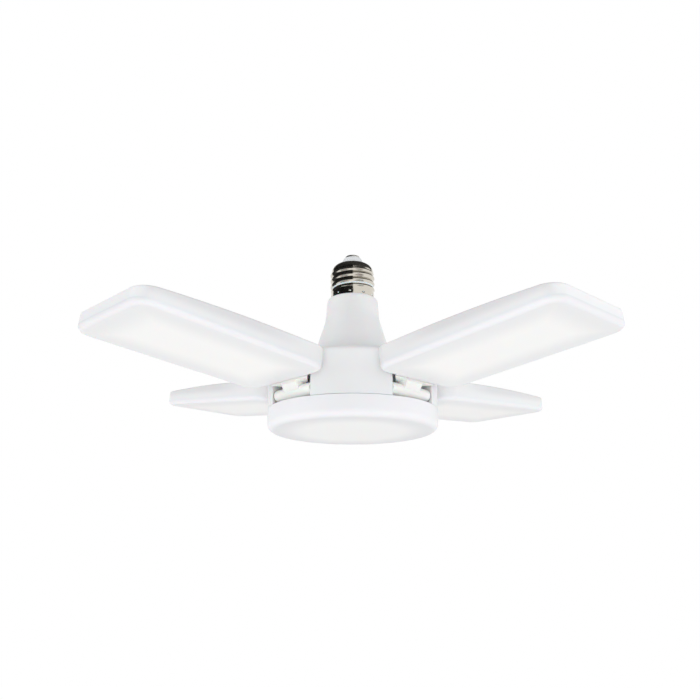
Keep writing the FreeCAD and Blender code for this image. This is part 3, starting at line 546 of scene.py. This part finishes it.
bpy.ops.mesh.primitive_plane_add(size=FLOOR_SIZE, location=(0, 0, FLOOR_LEVEL))
floor = bpy.context.object
floor.name = "studio_floor"
floor_paint = bpy.data.materials.new("floor_paint")
floor_paint.use_nodes = True
paint = floor_paint.node_tree
paint.nodes.remove(paint.nodes["Principled BSDF"])
lit = paint.nodes.new("ShaderNodeBsdfDiffuse")
lit.inputs["Color"].default_value = FLOOR_COLOUR
glow = paint.nodes.new("ShaderNodeEmission")
glow.inputs["Strength"].default_value = FLOOR_GLOW
shadow = paint.nodes.new("ShaderNodeBsdfDiffuse")
shadow.inputs["Color"].default_value = SHADOW_COLOUR
seen = paint.nodes.new("ShaderNodeAddShader")
paint.links.new(glow.outputs["Emission"], seen.inputs[0])
paint.links.new(shadow.outputs["BSDF"], seen.inputs[1])
choice = paint.nodes.new("ShaderNodeMixShader")
paint.links.new(seen_directly(paint), choice.inputs["Fac"])
paint.links.new(lit.outputs["BSDF"], choice.inputs[1])
paint.links.new(seen.outputs["Shader"], choice.inputs[2])
paint.links.new(choice.outputs["Shader"], paint.nodes["Material Output"].inputs["Surface"])
floor.data.materials.append(floor_paint)
print("floor:", FLOOR_SIZE, "metres wide, at", FLOOR_LEVEL)

# %% [markdown]
# ## Black cards
#
# A mirror in a white room is white and hardly shows. Photographers stand black cards beside shiny metal, so
# that its shape reads in dark and light bands. These three are seen only by shiny surfaces: they give the
# plated base its dark reflections and neither shade the lamp nor show behind it.

# %% Stand the black cards
BLACK = (0.01, 0.01, 0.01, 1.0)

card_paint = bpy.data.materials.new("card_paint")
card_paint.use_nodes = True
card_paint.node_tree.nodes["Principled BSDF"].inputs["Base Color"].default_value = BLACK


def dark_card(name, middle, facing, width, height):
    """A black card that only shiny surfaces see."""
    bpy.ops.mesh.primitive_plane_add(size=1, location=middle)
    card = bpy.context.object
    card.name = name
    card.scale = (width, height, 1.0)
    card.rotation_euler = Vector(facing).to_track_quat("Z", "Y").to_euler()
    card.data.materials.append(card_paint)
    card.visible_camera = False
    card.visible_diffuse = False
    card.visible_shadow = False
    card.visible_transmission = False
    print(name, "is", width, "by", height, "metres")


dark_card("card_front", middle=(-0.57, -0.9, 0.3), facing=(0, 1, 0), width=1.26, height=1.6)
dark_card("card_left", middle=(-1.2, -0.1, 0.2), facing=(1, 0, 0), width=2.0, height=1.6)
dark_card("card_above", middle=(-0.1, 0.0, 0.65), facing=(0, 0, -1), width=2.2, height=1.8)

# %% [markdown]
# ## Soft lamps
#
# Large lamps give soft shadows. One on each side shapes the neck and the leaves' edges, one in front fills,
# and one below lights the covers, which face down. Shiny surfaces don't mirror them, because their square
# shapes would stand in the plated base, where the photograph has none.

# %% Hang the lamps
LAMP_TARGET = Vector((0.0, 0.0, -0.05))


def soft_lamp(name, place, power, size):
    """A large soft lamp aimed at the middle of the hub."""
    data = bpy.data.lights.new(name, "AREA")
    data.energy = power
    data.size = size
    lamp = bpy.data.objects.new(name, data)
    bpy.context.collection.objects.link(lamp)
    lamp.location = place
    aim = LAMP_TARGET - Vector(place)
    lamp.rotation_euler = aim.to_track_quat("-Z", "Y").to_euler()
    lamp.visible_glossy = False
    print(name, "gives", power, "watts")


soft_lamp("lamp_left", place=(-1.2, 0.05, 0.1), power=5.0, size=0.9)
soft_lamp("lamp_right", place=(1.2, 0.05, 0.1), power=4.4, size=0.9)
soft_lamp("lamp_front", place=(0.0, -1.2, -0.42), power=4.0, size=0.6)
soft_lamp("lamp_below", place=(0.0, -0.4, -1.1), power=4.2, size=1.2)

# %% [markdown]
# ## The camera
#
# The lens length and the place come from fitting the lamp's outline to the photograph: the camera is under
# half a metre away, a little below the leaves, and looks up at the lamp by sixteen degrees. A camera that
# has no turn looks straight down, so looking level is a pitch of ninety degrees.

# %% Place the camera
CAMERA_PLACE = (0.00638, -0.42995, -0.154)
CAMERA_PITCH = 16.0
CAMERA_TURN = 1.05
CAMERA_LENS = 39.5
SENSOR_WIDTH = 36.0
LEVEL_PITCH = 90.0
NEAREST = 0.01

camera_data = bpy.data.cameras.new("photo_camera")
camera_data.sensor_width = SENSOR_WIDTH
camera_data.lens = CAMERA_LENS
camera_data.clip_start = NEAREST
camera = bpy.data.objects.new("photo_camera", camera_data)
bpy.context.collection.objects.link(camera)
camera.location = CAMERA_PLACE
camera.rotation_euler = Euler((math.radians(LEVEL_PITCH + CAMERA_PITCH), 0.0, math.radians(CAMERA_TURN)))
bpy.context.scene.camera = camera
bpy.context.scene.view_settings.view_transform = "Standard"
print("camera looks up by", CAMERA_PITCH, "degrees")
